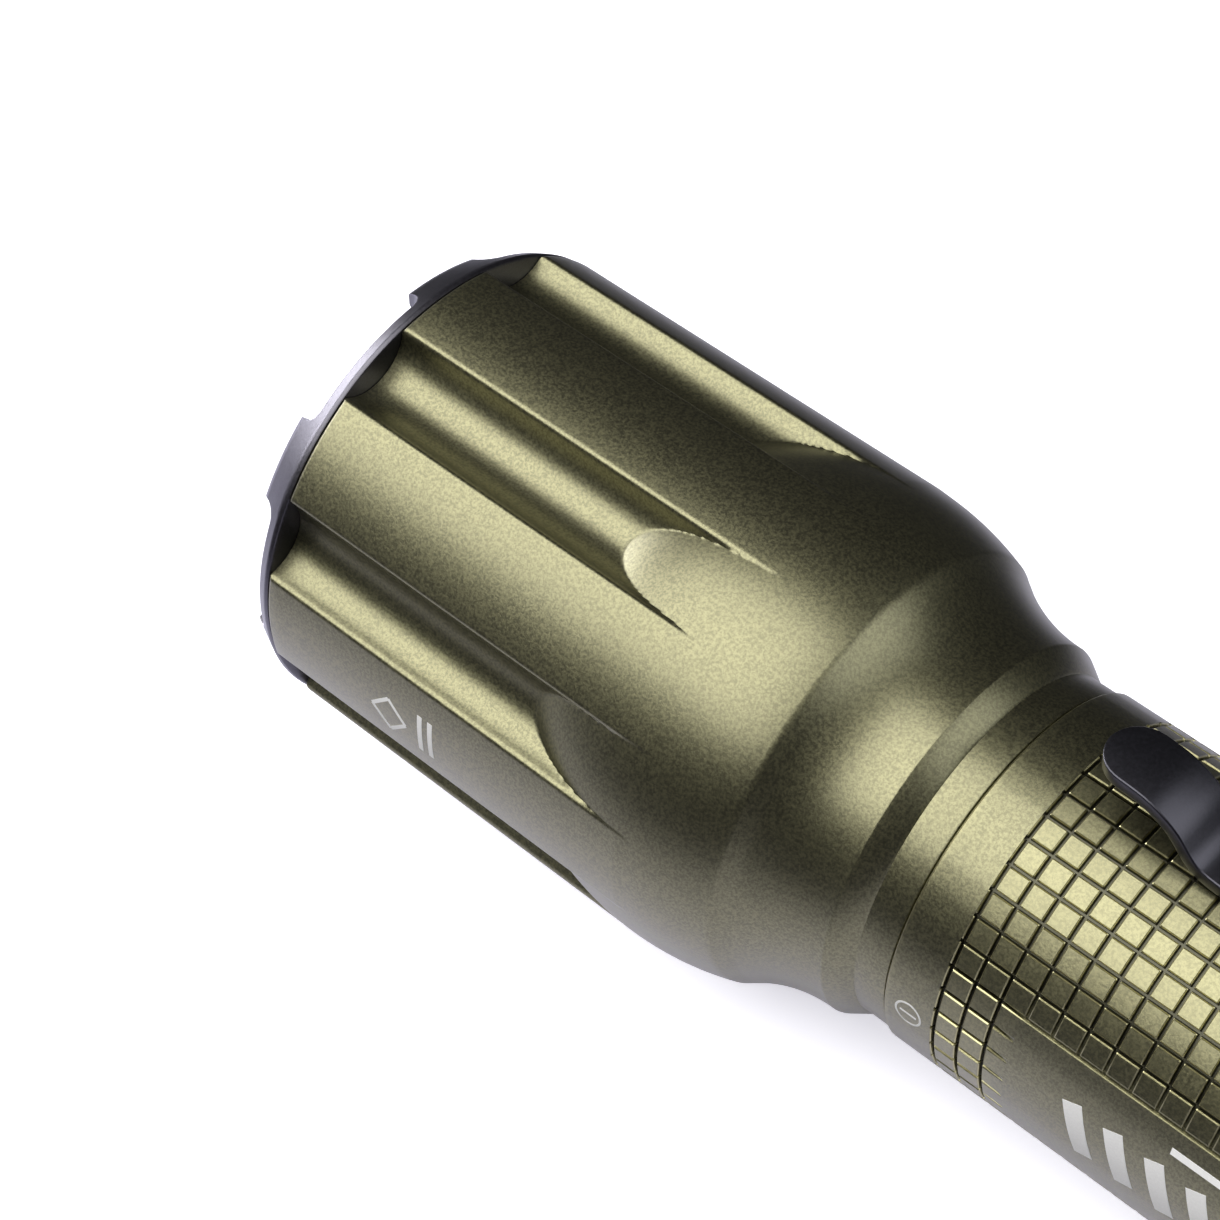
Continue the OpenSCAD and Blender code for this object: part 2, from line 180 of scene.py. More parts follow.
def grid_mesh(name, points, wear_highlight_shade=None, sharp=32):
    """A mesh on a grid of points in millimetres that closes on itself along its columns and rows."""
    rows, columns = points.shape[:2]
    i = np.arange(rows)[:, None]
    k = np.arange(columns)[None, :]
    i2, k2 = (i + 1) % rows, (k + 1) % columns
    corners = [i * columns + k, i * columns + k2, i2 * columns + k2, i2 * columns + k]
    faces = np.stack(corners, -1).reshape(-1, 4)
    mesh = bpy.data.meshes.new(name)
    mesh.from_pydata((points.reshape(-1, 3) * MM).tolist(), [], faces.tolist())
    # Per-point mark value that the grained finishes read: paler rubbed edges, partly abrasion and partly
    # painted highlight, and painted shade where it is negative.
    if wear_highlight_shade is not None:
        wear_and_painted_light = mesh.attributes.new("wear_highlight_shade", "FLOAT", "POINT")
        wear_and_painted_light.data.foreach_set("value", wear_highlight_shade.ravel().astype(np.float32))
    finish_mesh(mesh, sharp)
    return mesh


def rounded(outline, radius, steps=3):
    """A closed outline with each corner off the axis replaced by a small curve."""
    made = []
    for before, corner, after in zip(outline[-1:] + outline[:-1], outline, outline[1:] + outline[:1]):
        b, c, a = (np.array(p, float) for p in (before, corner, after))
        if c[1] == 0:
            made.append(tuple(c))
            continue
        reach_b, reach_a = np.linalg.norm(b - c), np.linalg.norm(a - c)
        start = c + (b - c) * min(radius / reach_b, 0.45)
        end = c + (a - c) * min(radius / reach_a, 0.45)
        for t in np.linspace(0, 1, steps + 1):
            made.append(tuple(start * (1 - t) ** 2 + c * 2 * t * (1 - t) + end * t * t))
    return made


def lathe(name, outline, steps=192, edge=0.12):
    """A mesh turned about the axis from a closed outline of positions and radii."""
    soft = rounded(outline, edge) if edge else outline
    angles = np.arange(steps) * 360 / steps
    x, r = np.array(soft).T
    return grid_mesh(name, around(x[:, None], r[:, None], angles[None, :]))


# ---------------------------------------------------------------- materials

class Look:
    """A material under construction, with its node tree and its shader."""

    def __init__(self, name, **sockets):
        self.material = bpy.data.materials.new(name)
        self.material.use_nodes = True
        self.nodes = self.material.node_tree.nodes
        self.shader = self.nodes["Principled BSDF"]
        for socket, value in sockets.items():
            self.shader.inputs[socket.replace("_", " ")].default_value = value

    def add(self, kind, values=None, **links):
        """A node with its settings, whose inputs take a number, a colour or another node's output."""
        made = self.nodes.new("ShaderNode" + kind)
        for key, value in (values or {}).items():
            setattr(made, key, value)
        for socket, value in links.items():
            self.plug(made, int(socket[1:]) if socket[1:].isdigit() else socket.replace("_", " "), value)
        return made

    def plug(self, node, socket, value):
        if isinstance(value, bpy.types.NodeSocket):
            self.material.node_tree.links.new(value, node.inputs[socket])
        else:
            node.inputs[socket].default_value = value

    def place(self):
        """Coordinates that stay with the piece."""
        return self.add("TexCoord").outputs["Object"]

    def noise(self, scale, detail=2, roughness=0.5, stretch=None):
        """Noise in features of about 1/scale metres, stretched along the axes if wanted."""
        at = self.place()
        if stretch:
            at = self.add("Mapping", _0=at, Scale=stretch).outputs[0]
        made = self.add("TexNoise", Vector=at, Scale=scale, Detail=detail, Roughness=roughness)
        return made.outputs["Factor" if "Factor" in made.outputs else "Fac"]

    def between(self, value, low, high, start=0.3, end=0.7):
        """A value that goes from low to high as another goes from start to end."""
        made = self.add("MapRange", None, Value=value)
        for socket, number in (("From Min", start), ("From Max", end), ("To Min", low), ("To Max", high)):
            made.inputs[socket].default_value = number
        return made.outputs[0]

    def blend(self, factor, first, second):
        """A colour between two colours."""
        made = self.add("Mix", {"data_type": "RGBA"})
        self.plug(made, 0, factor)
        self.plug(made, 6, first)
        self.plug(made, 7, second)
        return made.outputs[2]

    def use(self, socket, value):
        self.plug(self.shader, socket, value)

    def bump(self, height, strength, distance):
        made = self.add("Bump", Height=height, Strength=strength, Distance=distance)
        self.use("Normal", made.outputs[0])


def tone(colour, factor):
    """A colour made lighter or darker."""
    return tuple(min(1, c * factor) for c in colour[:3]) + (1,)


def grained(name, colour, wear_and_painted_light, roughness, metallic=1.0, grain=0.2, fine=5200, strength=0.35, **sockets):
    """Metal or plastic with a fine even grain, paler along rubbed edges, partly real abrasion and partly a
    painted highlight, and darker in groove floors as painted shade.
    """
    look = Look(name, Metallic=metallic, **sockets)
    speck = look.noise(fine, 3, 0.75)
    cloud = look.noise(90, 3)
    dark, light = tone(colour, 1 - grain), tone(colour, 1 + grain)
    base = look.blend(look.between(speck, 0, 1, 0.4, 0.6), dark, light)
    base = look.blend(look.between(cloud, 0, 0.18), base, tone(colour, 0.8))
    wear_highlight_shade = look.add("Attribute", {"attribute_name": "wear_highlight_shade"}).outputs["Fac"]
    # Painted shade: negative values darken the colour to a quarter of itself in the groove floors.
    base = look.blend(look.between(wear_highlight_shade, 1, 0, -1, 0), base, tone(colour, 0.25))
    # Paler rubbed edges: partly real abrasion and partly a painted highlight.
    look.use("Base Color", look.blend(look.between(wear_highlight_shade, 0, 1, 0, 1), base, wear_and_painted_light))
    look.use("Roughness", look.between(speck, roughness - 0.05, roughness + 0.06))
    look.bump(speck, strength, 0.00003)
    return look.material


def turned_metal(name, colour, roughness=0.3, **sockets):
    """Bare metal with the fine rings that a lathe leaves."""
    look = Look(name, Metallic=1.0, **sockets)
    rings = look.noise(2600, 2, 0.6, (1, 0.03, 0.03))
    look.use("Base Color", look.blend(look.between(rings, 0, 1), tone(colour, 0.85), tone(colour, 1.1)))
    look.use("Roughness", look.between(rings, roughness - 0.07, roughness + 0.1))
    look.bump(rings, 0.25, 0.00002)
    return look.material


def moulded(name, colour, roughness=0.5, fine=2500, grain=0.12, **sockets):
    """Rubber, plastic, paint or ceramic with a faint uneven surface."""
    look = Look(name, **sockets)
    speck = look.noise(fine, 3, 0.6)
    cloud = look.noise(120, 2)
    base = look.blend(look.between(speck, 0, 1), tone(colour, 1 - grain), tone(colour, 1 + grain))
    look.use("Base Color", look.blend(look.between(cloud, 0, 0.3), base, tone(colour, 0.88)))
    look.use("Roughness", look.between(speck, roughness - 0.06, roughness + 0.08))
    look.bump(speck, 0.3, 0.00002)
    return look.material


def circuit(name, mask, copper, spacing=1400):
    """Circuit board: solder mask with paler tracks under it."""
    look = Look(name, Roughness=0.4)
    cells = look.add("TexVoronoi", {"feature": "DISTANCE_TO_EDGE"}, Vector=look.place(), Scale=spacing)
    track = look.between(cells.outputs["Distance"], 1, 0, 0.05, 0.09)
    look.use("Base Color", look.blend(track, mask, copper))
    look.bump(track, 0.4, 0.00003)
    return look.material


def coated_glass():
    """Lens glass with a faint violet anti-reflection coat and a trace of dust in its roughness."""
    look = Look("lens_glass", Transmission_Weight=1.0, IOR=1.5, Base_Color=(0.96, 0.97, 1, 1),
                Thin_Film_Thickness=120, Thin_Film_IOR=1.38)
    look.use("Roughness", look.between(look.noise(700, 4), 0.0, 0.03, 0.45, 0.75))
    return look.material


def mirror_coat():
    """Polished mirror with a very faint waviness."""
    look = Look("mirror_coat", Metallic=1.0, Base_Color=(0.9, 0.9, 0.91, 1))
    look.use("Roughness", look.between(look.noise(500, 2), 0.04, 0.09))
    look.bump(look.noise(900, 2), 0.05, 0.00002)
    return look.material


OLIVE = (0.16, 0.153, 0.082)
BLACK = (0.085, 0.082, 0.098)
COAT = {"Coat_Weight": 0.6, "Coat_Roughness": 0.33}


def make_materials():
    """Every finish by the name that the pieces use."""
    return {
        # Each grained finish's second colour is its pale edge colour, partly real abrasion and partly a
        # painted highlight.
        "olive": grained("olive_anodised", OLIVE, (0.62, 0.58, 0.3, 1), 0.36, grain=0.3, **COAT),
        "black": grained("black_anodised", BLACK, (0.3, 0.29, 0.33, 1), 0.33, grain=0.1, **COAT),
        "clip": grained("black_steel", (0.04, 0.039, 0.05), (0.34, 0.34, 0.4, 1), 0.33, grain=0.08,
                        strength=0.2, **COAT),
        "mirror": mirror_coat(),
        "glass": coated_glass(),
        "rubber": moulded("black_rubber", (0.022, 0.022, 0.023), 0.62),
        "aluminium": turned_metal("bare_aluminium", (0.75, 0.75, 0.76)),
        "brass": turned_metal("brass_turned", (0.8, 0.6, 0.3), 0.25),
        "steel": turned_metal("steel_turned", (0.6, 0.6, 0.62), 0.28),
        "gold": turned_metal("gold_plate", (0.9, 0.66, 0.3), 0.22),
        "white_mask": circuit("white_solder_mask", (0.8, 0.8, 0.77, 1), (0.85, 0.83, 0.76, 1)),
        "green_board": circuit("green_board", (0.02, 0.16, 0.06, 1), (0.06, 0.3, 0.1, 1)),
        "white_plastic": moulded("white_plastic", (0.8, 0.8, 0.77), 0.45),
        "black_plastic": moulded("black_plastic", (0.03, 0.03, 0.033), 0.42),
        "chip": moulded("chip_epoxy", (0.025, 0.025, 0.028), 0.55, 6000, 0.3),
        "ferrite": moulded("ferrite_grey", (0.09, 0.09, 0.1), 0.6, 4000, 0.35),
        "red": moulded("red_insulation", (0.5, 0.02, 0.02), 0.4),
        "phosphor": moulded("led_phosphor", (0.95, 0.72, 0.08), 0.6, 6000, 0.1),
        "silicone": moulded("led_silicone", (1.0, 0.98, 0.9), 0.12, 3000, 0.02,
                            Transmission_Weight=0.95, IOR=1.41),
        "can": turned_metal("cell_can", (0.7, 0.7, 0.72), 0.3),
        "wrap": moulded("cell_wrap", (0.05, 0.14, 0.34), 0.25, 1500, 0.1, Coat_Weight=0.4),
        "print": moulded("white_print", (0.85, 0.85, 0.84), 0.55, 7000, 0.05),
    }


def dress(piece, material, slot, *nodes):
    """Gives a piece its finish and hides the CAD nodes that it stands for; its slot is not used."""
    piece.data.materials.append(material)
    if nodes:
        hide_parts(*nodes)
    return piece


# ---------------------------------------------------------------- head

def flute_section(angle, land_r):
    """Outer radius of the fluted barrel at each angle: land, rounded edge, then round floor."""
    pitch = 360 / FLUTES
    off = np.radians(np.abs((angle - FLUTE_TURN + pitch / 2) % pitch - pitch / 2))
    centre = FLUTE_FLOOR_R + FLUTE_CUTTER_R
    path = land_r - FLUTE_FILLET
    near = FLUTE_CUTTER_R + FLUTE_FILLET
    edge_at = math.acos((path ** 2 + centre ** 2 - near ** 2) / (2 * path * centre))
    fillet = np.array([path * math.cos(edge_at), path * math.sin(edge_at)])
    touch = np.array([centre, 0]) + (fillet - [centre, 0]) * FLUTE_CUTTER_R / near
    touch_at = math.atan2(touch[1], touch[0])
    reach_in = np.sqrt(np.maximum(FLUTE_CUTTER_R ** 2 - (centre * np.sin(off)) ** 2, 0))
    floor = centre * np.cos(off) - reach_in
    gap = edge_at - off
    lip = path * np.cos(gap) + np.sqrt(np.maximum(FLUTE_FILLET ** 2 - (path * np.sin(gap)) ** 2, 0))
    return np.where(off >= edge_at, land_r, np.where(off >= touch_at, lip, floor))


def dome_r(s):
    """Radius of the domed shoulder at a distance in front of the head's back."""
    return HEAD_R - DOME_DROP - DOME_ARC + np.sqrt(DOME_ARC ** 2 - (s - DOME_TOP) ** 2)


def head_row(s, angle):
    """Outer radius of the head all round, at a distance in front of its back."""
    if s <= DOME_REACH:
        dome = dome_r(s)
        barrel = flute_section(angle, HEAD_R) - max(0, LAND_END - s) * 0.07
        return np.maximum(dome, barrel) if s > DOME_TOP - 2 else np.full_like(angle, dome)
    return flute_section(angle, HEAD_R)


def head_outline():
    """Distances and radii of the head behind the dome, down to the seam with the tube."""
    cove_len = COVE_FRONT - COVE_BACK
    rise = COVE_FRONT_R - FLANGE_R
    cove_arc = (cove_len ** 2 + rise ** 2) / (2 * rise)
    rows = [(SHOULDER + 0.05, dome_r(SHOULDER + 0.05)), (SHOULDER - 0.05, dome_r(SHOULDER) - 0.07)]
    rows += [(COVE_FRONT + 0.08, COVE_FRONT_R + 0.07), (COVE_FRONT - 0.04, COVE_FRONT_R - 0.03)]
    for s in np.linspace(COVE_FRONT - 0.3, COVE_BACK + 0.1, 16):
        rows.append((s, FLANGE_R + cove_arc - math.sqrt(cove_arc ** 2 - (s - COVE_BACK) ** 2)))
    rows += [(COVE_BACK, FLANGE_R), (COVE_BACK - 0.08, FLANGE_R - 0.03)]
    rows += [(2.52, 12.62), (2.4, COLLAR_R + 0.02)]
    rows += [(COLLAR_LEN, COLLAR_R), (0.25, COLLAR_R), (0.12, COLLAR_R - 0.04), (0.05, COLLAR_R - 0.14)]
    return rows


def make_head(materials):
    """Head shell: fluted barrel, domed shoulder, cove, flange and collar, with its stepped bore."""
    pitch = 360 / FLUTES
    offsets = np.concatenate([np.linspace(-11, 11, 67), np.linspace(11.6, pitch - 11.6, 22)])
    angles = np.concatenate([FLUTE_TURN + k * pitch + offsets for k in range(FLUTES)])
    inside = [(0.05, THREAD_BORE_R), (1.0, THREAD_BORE_R), (1.0, SEAL_BORE_R), (2.2, SEAL_BORE_R),
              (2.2, THREAD_BORE_R), (10.5, THREAD_BORE_R), (10.5, ENGINE_BORE_R), (20, ENGINE_BORE_R),
              (20, LENS_BORE_R), (HEAD_LEN - 0.15, LENS_BORE_R), (HEAD_LEN, LENS_BORE_R + 0.15)]
    radii, places = [], []
    for k in range(5):
        turn = math.radians(22.5 * k)
        places.append(HEAD_LEN - EDGE_BREAK * (1 - math.cos(turn)))
        limit = HEAD_R - EDGE_BREAK * (1 - math.sin(turn))
        radii.append(np.minimum(flute_section(angles, HEAD_R), limit))
    barrel = np.linspace(HEAD_LEN - 1, DOME_REACH + 0.3, 12)
    runout = np.linspace(DOME_REACH, DOME_TOP - 1.9, 84)
    dome = np.linspace(DOME_TOP - 2.2, SHOULDER + 0.4, 14)
    for s in np.concatenate([barrel, runout, dome]):
        places.append(s)
        radii.append(head_row(s, angles))
    for s, r in head_outline() + inside:
        places.append(s)
        radii.append(np.full_like(angles, r))
    x = HEAD_BACK - np.array(places)[:, None]
    mesh = grid_mesh("head", around(x, np.array(radii), angles[None, :]), sharp=28)
    dress(add_object("head_fluted", mesh, "head"), materials["olive"], "olive_anodised", "head_shell")


def recess_depth(angle):
    """How far the crown is cut back at each angle: slots between teeth, with rounded corners."""
    pitch = 360 / TEETH
    tip_r = HEAD_R - 1.2
    half = tip_r * math.sin(math.radians((pitch - TOOTH_ANGLE) / 2))
    off = np.abs((angle - CROWN_TURN) % pitch - pitch / 2)
    across = half - tip_r * np.sin(np.radians(off))
    corner = RECESS_FILLET - np.sqrt(np.maximum(RECESS_FILLET ** 2 - (RECESS_FILLET - across) ** 2, 0))
    depth = RECESS_DEEP - np.where(across < RECESS_FILLET, corner, 0)
    return np.where(across <= 0, 0, depth)


def make_crown(materials):
    """Bezel ring: six teeth with rounded recesses, tapered outside and dished inside."""
    pitch = 360 / TEETH
    half_gap = (pitch - TOOTH_ANGLE) / 2
    corner = np.concatenate([[-0.03, 0.03], 0.25 + 4.6 * (1 - np.cos(np.linspace(0.15, math.pi / 2, 12)))])
    one = np.concatenate([-half_gap + corner, np.linspace(-13, 13, 16), half_gap - corner[::-1],
                          half_gap + np.linspace(1.5, TOOTH_ANGLE - 1.5, 12)])
    angles = np.concatenate([CROWN_TURN + (k + 0.5) * pitch + one for k in range(TEETH)])
    seat = HEAD_FRONT - 0.05
    outer_x, outer_r = [CROWN_FRONT, HEAD_FRONT - 1.25, seat - 0.35], [16.05, 16.75, 17.13]
    inner_x, inner_r = [CROWN_FRONT, CROWN_FRONT + RECESS_DEEP, HEAD_FRONT + 1], [14.95, 14.2, 12.7]
    front = CROWN_FRONT + recess_depth(angles)
    rows = [(np.full_like(front, seat), np.full_like(front, 16.9)),
            (np.full_like(front, seat - 0.08), np.full_like(front, 17.06)),
            (np.full_like(front, seat - 0.22), np.full_like(front, 17.13))]
    for t in np.linspace(0, 1, 8):
        x = (seat - 0.35) * (1 - t) + (front + 0.1) * t
        rows.append((x, np.interp(x, outer_x, outer_r)))
    rows.append((front + 0.03, np.interp(front, outer_x, outer_r) - 0.04))
    rows.append((front, np.interp(front, outer_x, outer_r) - 0.12))
    rows.append((front, np.interp(front, inner_x, inner_r) + 0.12))
    rows.append((front + 0.1, np.interp(front + 0.1, inner_x, inner_r)))
    for t in (0.35, 0.7, 1):
        x = (front + 0.1) * (1 - t) + (HEAD_FRONT + 0.9) * t
        rows.append((x, np.interp(x, inner_x, inner_r)))
    sleeve = reach("bezel_ring")[1]
    for x, r in ((HEAD_FRONT + 1, 12.78), (sleeve, 12.78), (sleeve, 14.0), (seat, 14.0)):
        rows.append((np.full_like(front, x), np.full_like(front, r)))
    x, r = (np.array(part) for part in zip(*rows))
    wear_highlight_shade = np.zeros_like(x)
    # Paler front edges of the teeth, partly real abrasion and partly a painted highlight.
    wear_highlight_shade[10:12] = 0.5
    mesh = grid_mesh("crown", around(x, r, angles[None, :]), wear_highlight_shade, sharp=30)
    dress(add_object("bezel_crown", mesh, "head"), materials["black"], "black_anodised", "bezel_ring")


# ---------------------------------------------------------------- grip tube and tail cap

def knurl_columns():
    """Angles of the knurl's lengthwise lines, with each line's depth and its mark value: paler rubbed edges,
    partly abrasion and partly painted highlight, and painted shade in the groove floor.
    """
    angles, depths, wear_highlight_shades = [], [], []
    pitch = 360 / ROWS_AROUND
    for k in range(ROWS_AROUND):
        for step, depth in GROOVE_STEPS:
            angles.append(k * pitch + math.degrees(step / BODY_R))
            depths.append(depth)
            wear_highlight_shades.append(EDGE_WEAR_HIGHLIGHT_SHADE[depth])
        angles.append((k + 0.5) * pitch)
        depths.append(0)
        wear_highlight_shades.append(0)
    return np.array(angles), np.array(depths, float), np.array(wear_highlight_shades, float)


def knurl_rows(rings):
    """Positions of the knurl's ring lines, with each line's depth and its mark value for rubbed edges with
    painted highlight and for painted groove shade.
    """
    rows = []
    for x in rings:
        rows += [(x + step, depth, EDGE_WEAR_HIGHLIGHT_SHADE[depth]) for step, depth in GROOVE_STEPS]
    return rows


def thread_rows(start, end, angles):
    """Rows of a thread on a neck: positions and radii all round."""
    rows = []
    for x in np.arange(start, end, THREAD_PITCH / 6):
        phase = np.abs((x / THREAD_PITCH + angles / 360) % 1 - 0.5) * 2
        fade = min(1, (x - start) / 0.8, (end - x) / 0.8)
        rows.append((x, NECK_R - THREAD_DEEP * fade * np.clip((phase - 0.2) / 0.6, 0, 1)))
    return rows


def smooth_step(value, start, end):
    """0 before start, 1 after end and smooth between."""
    t = np.clip((value - start) / (end - start), 0, 1)
    return t * t * (3 - 2 * t)


def panel_masks(x, angles):
    """How deep the lengthwise lines and the ring lines are at x, as they die out at the smooth panel."""
    pitch = 360 / ROWS_AROUND
    off = np.abs(angles - PANEL_MIDDLE) / pitch
    behind = smooth_step(x, PANEL_FRONT - 1.9, PANEL_FRONT - 0.1)
    lengthwise = np.where(off < 2.7, 1 - behind, np.where(off < 3.4, 1 - 0.62 * behind, 1))
    rings = np.ones_like(angles)
    if x > PANEL_FRONT - 0.3:
        rings = np.where(off < 2.95, 0, 1) * (0.35 + 0.65 * smooth_step(off, 2.9, 4.1))
    return lengthwise, rings


def knurled_rows(rings, angles, depths, wear_highlight_shades, outer_r, masked):
    """Radii all round for every ring line of a knurled stretch, with the mark value for rubbed edges with
    painted highlight and for painted groove shade.
    """
    made = []
    for x, depth, wear_highlight_shade in knurl_rows(rings):
        lengthwise, across = panel_masks(x, angles) if masked else (np.ones_like(angles),) * 2
        deep = np.maximum(depths * lengthwise, depth * across)
        wear_and_painted_light = np.maximum(np.maximum(wear_highlight_shades, 0) * lengthwise, max(wear_highlight_shade, 0) * across)
        # Groove floors take a negative value, which the finish turns into painted shade.
        made.append((x, outer_r - GROOVE_DEEP * deep, np.where(deep > 0.5, -deep, wear_and_painted_light)))
    start, end = made[0][0] - 0.01, made[-1][0] + 0.01
    return [(start, outer_r)] + made + [(end, outer_r)]


def stack_rows(rows, angles):
    """Arrays of positions, radii and mark values for rubbed edges with painted highlight and painted shade,
    from a list of rows, each uniform or all round.
    """
    x = np.array([row[0] for row in rows])[:, None]
    r = np.array([np.broadcast_to(row[1], angles.shape) for row in rows])
    wear_highlight_shade = np.array([np.broadcast_to(row[2] if len(row) > 2 else 0, angles.shape) for row in rows])
    return around(x, r, angles[None, :]), wear_highlight_shade


def make_tube(materials):
    """Grip tube: threaded necks, smooth clamp band, square knurl, smooth panel and the clip's groove."""
    angles, depths, wear_highlight_shades = knurl_columns()
    rings = [FIRST_RING] + list(np.arange(SECOND_RING, BAND_FRONT - 2, RING_PITCH))
    groove_r, edge = 12.4, 0.3
    rows = [(NECK_FRONT, CELL_BORE_R), (NECK_FRONT, NECK_END_R), (NECK_FRONT + 0.3, NECK_EDGE_R)]
    rows += thread_rows(NECK_FRONT + 0.5, HEAD_BACK - 2.6, angles)
    rows += [(HEAD_BACK - 2.4, NECK_R), (HEAD_BACK, NECK_R), (HEAD_BACK, BODY_R - edge)]
    # Paler edge break at the tube's front, partly real abrasion and partly a painted highlight.
    rows += [(HEAD_BACK + 0.09, BODY_R - 0.09, 0.5), (HEAD_BACK + 0.2, BODY_R, 0.1)]
    rows += [(HEAD_BACK + 0.5, BODY_R)]
    rows += knurled_rows(rings, angles, depths, wear_highlight_shades, BODY_R, True)
    front, back = BAND_FRONT - 0.05, BAND_BACK + 0.05
    rows += [(BAND_FRONT - 0.2, BODY_R), (front, BODY_R - 0.12), (front, groove_r)]
    rows += [(back, groove_r), (back, BODY_R - 0.12), (BAND_BACK + 0.2, BODY_R)]
    # Paler edge break at the tube's back, partly real abrasion and partly a painted highlight.
    rows += [(TUBE_BACK - 0.3, BODY_R), (TUBE_BACK - 0.09, BODY_R - 0.09, 0.5), (TUBE_BACK, BODY_R - edge)]
    rows += [(TUBE_BACK, NECK_R), (TUBE_BACK + 0.4, NECK_R)]
    rows += thread_rows(TUBE_BACK + 0.6, NECK_BACK - 0.5, angles)
    rows += [(NECK_BACK - 0.3, NECK_EDGE_R), (NECK_BACK, NECK_END_R), (NECK_BACK, CELL_BORE_R)]
    points, wear_highlight_shade = stack_rows(rows, angles)
    mesh = grid_mesh("tube", points, wear_highlight_shade, sharp=25)
    dress(add_object("grip_tube", mesh, "tube"), materials["olive"], "olive_anodised", "body_tube")


def block(name, low, high):
    """A plain block between two corners in millimetres, used only as a cutter."""
    work = bmesh.new()
    bmesh.ops.create_cube(work, size=1)
    size, middle = np.subtract(high, low), np.add(high, low) / 2
    for v in work.verts:
        v.co = Vector(np.array(v.co) * size + middle) * MM
    mesh = bpy.data.meshes.new(name)
    work.to_mesh(mesh)
    work.free()
    return add_object(name, mesh, None)


def cut(piece, cutters):
    """Cuts the cutters out of a piece and removes them."""
    for cutter in cutters:
        step = piece.modifiers.new("cut", "BOOLEAN")
        step.operation, step.solver, step.object = "DIFFERENCE", "EXACT", cutter
    bpy.context.view_layer.update()
    solid = piece.evaluated_get(bpy.context.evaluated_depsgraph_get())
    mesh = bpy.data.meshes.new_from_object(solid)
    piece.modifiers.clear()
    piece.data = mesh
    for cutter in cutters:
        bpy.data.objects.remove(cutter)
    finish_mesh(mesh, 28)


def make_cap(materials):
    """Tail cap: knurled skirt, two horns with lanyard holes, and the bores for the switch and boot."""
    angles, depths, wear_highlight_shades = knurl_columns()
    rim_floor, wall_front, switch_front = TAIL_END - HORN_LEN, TAIL_END - 5.95, TUBE_BACK + 6.55
    rings = np.arange(CAP_FRONT + 2.4, rim_floor - 1.2, RING_PITCH)
    # Paler edge break at the cap's front, partly real abrasion and partly a painted highlight.
    rows = [(CAP_FRONT, THREAD_BORE_R), (CAP_FRONT, CAP_R - 0.45), (CAP_FRONT + 0.12, CAP_R - 0.12, 0.5)]
    rows += [(CAP_FRONT + 0.4, CAP_R), (CAP_FRONT + 1.2, CAP_R)]
    rows += knurled_rows(rings, angles, depths, wear_highlight_shades, CAP_R, False)
    # Paler edge break at the cap's end, partly real abrasion and partly a painted highlight.
    rows += [(rim_floor - 0.5, CAP_R), (TAIL_END - 0.5, CAP_R), (TAIL_END - 0.15, CAP_R - 0.15, 0.4)]
    rows += [(TAIL_END, CAP_R - 0.5), (TAIL_END, 8.7), (TAIL_END - 0.2, BOOT_WELL_R)]
    rows += [(rim_floor, BOOT_WELL_R), (rim_floor, 7.25), (rim_floor - 0.15, BOOT_HOLE_R)]
    rows += [(wall_front, BOOT_HOLE_R), (wall_front, SWITCH_BORE_R), (switch_front, SWITCH_BORE_R)]
    rows += [(switch_front, THREAD_BORE_R), (TUBE_BACK + 2.2, THREAD_BORE_R), (TUBE_BACK + 2.2, SEAL_BORE_R)]
    rows += [(TUBE_BACK + 1, SEAL_BORE_R), (TUBE_BACK + 1, THREAD_BORE_R)]
    points, wear_highlight_shade = stack_rows(rows, angles)
    piece = add_object("tail_cap_horned", grid_mesh("cap", points, wear_highlight_shade), None)
    cutters = [block("side", (rim_floor, HORN_HALF, -15), (TAIL_END + 2, 15, 15)),
               block("other_side", (rim_floor, -15, -15), (TAIL_END + 2, -HORN_HALF, 15))]
    for side in (-1, 1):
        hole = lathe("hole", [(-6, 0), (-6, LANYARD_R), (6, LANYARD_R), (6, 0)], 48, 0)
        cutter = add_object("hole", hole, None)
        for v in hole.vertices:
            x, y, z = v.co
            v.co = (TAIL_END - LANYARD_FROM_END) * MM + y, x, side * LANYARD_OUT * MM + z
        cutters.append(cutter)
    cut(piece, cutters)
    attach(piece, "tail_cap")
    dress(piece, materials["olive"], "olive_anodised", "tail_cap")


# ---------------------------------------------------------------- clip

def smooth_path(points, count):
    """Evenly spaced points on a smooth curve through a few points."""
    points = np.array(points, float)
    along = np.concatenate([[0], np.cumsum(np.linalg.norm(np.diff(points, axis=0), axis=1))])
    slopes = np.gradient(points, along, axis=0)
    made = []
    for t in np.linspace(0, along[-1], count):
        k = min(np.searchsorted(along, t, side="right") - 1, len(points) - 2)
        w = along[k + 1] - along[k]
        u = (t - along[k]) / w
        made.append((2 * u ** 3 - 3 * u * u + 1) * points[k] + (u ** 3 - 2 * u * u + u) * w * slopes[k]
                    + (3 * u * u - 2 * u ** 3) * points[k + 1] + (u ** 3 - u * u) * w * slopes[k + 1])
    return np.array(made), along[-1]


def sheet_section(half, thick, steps=4):
    """Closed section of a strip with rounded edges: positions across and up."""
    made = []
    corner = min(SHEET_EDGE, half * 0.98)
    for sx, sz, start in ((1, 1, 0), (-1, 1, 90), (-1, -1, 180), (1, -1, 270)):
        for k in range(steps + 1):
            a = math.radians(start + 90 * k / steps)
            across = sx * (half - corner) + corner * math.cos(a)
            made.append((across, sz * (thick / 2 - SHEET_EDGE) + SHEET_EDGE * math.sin(a)))
    return np.array(made)


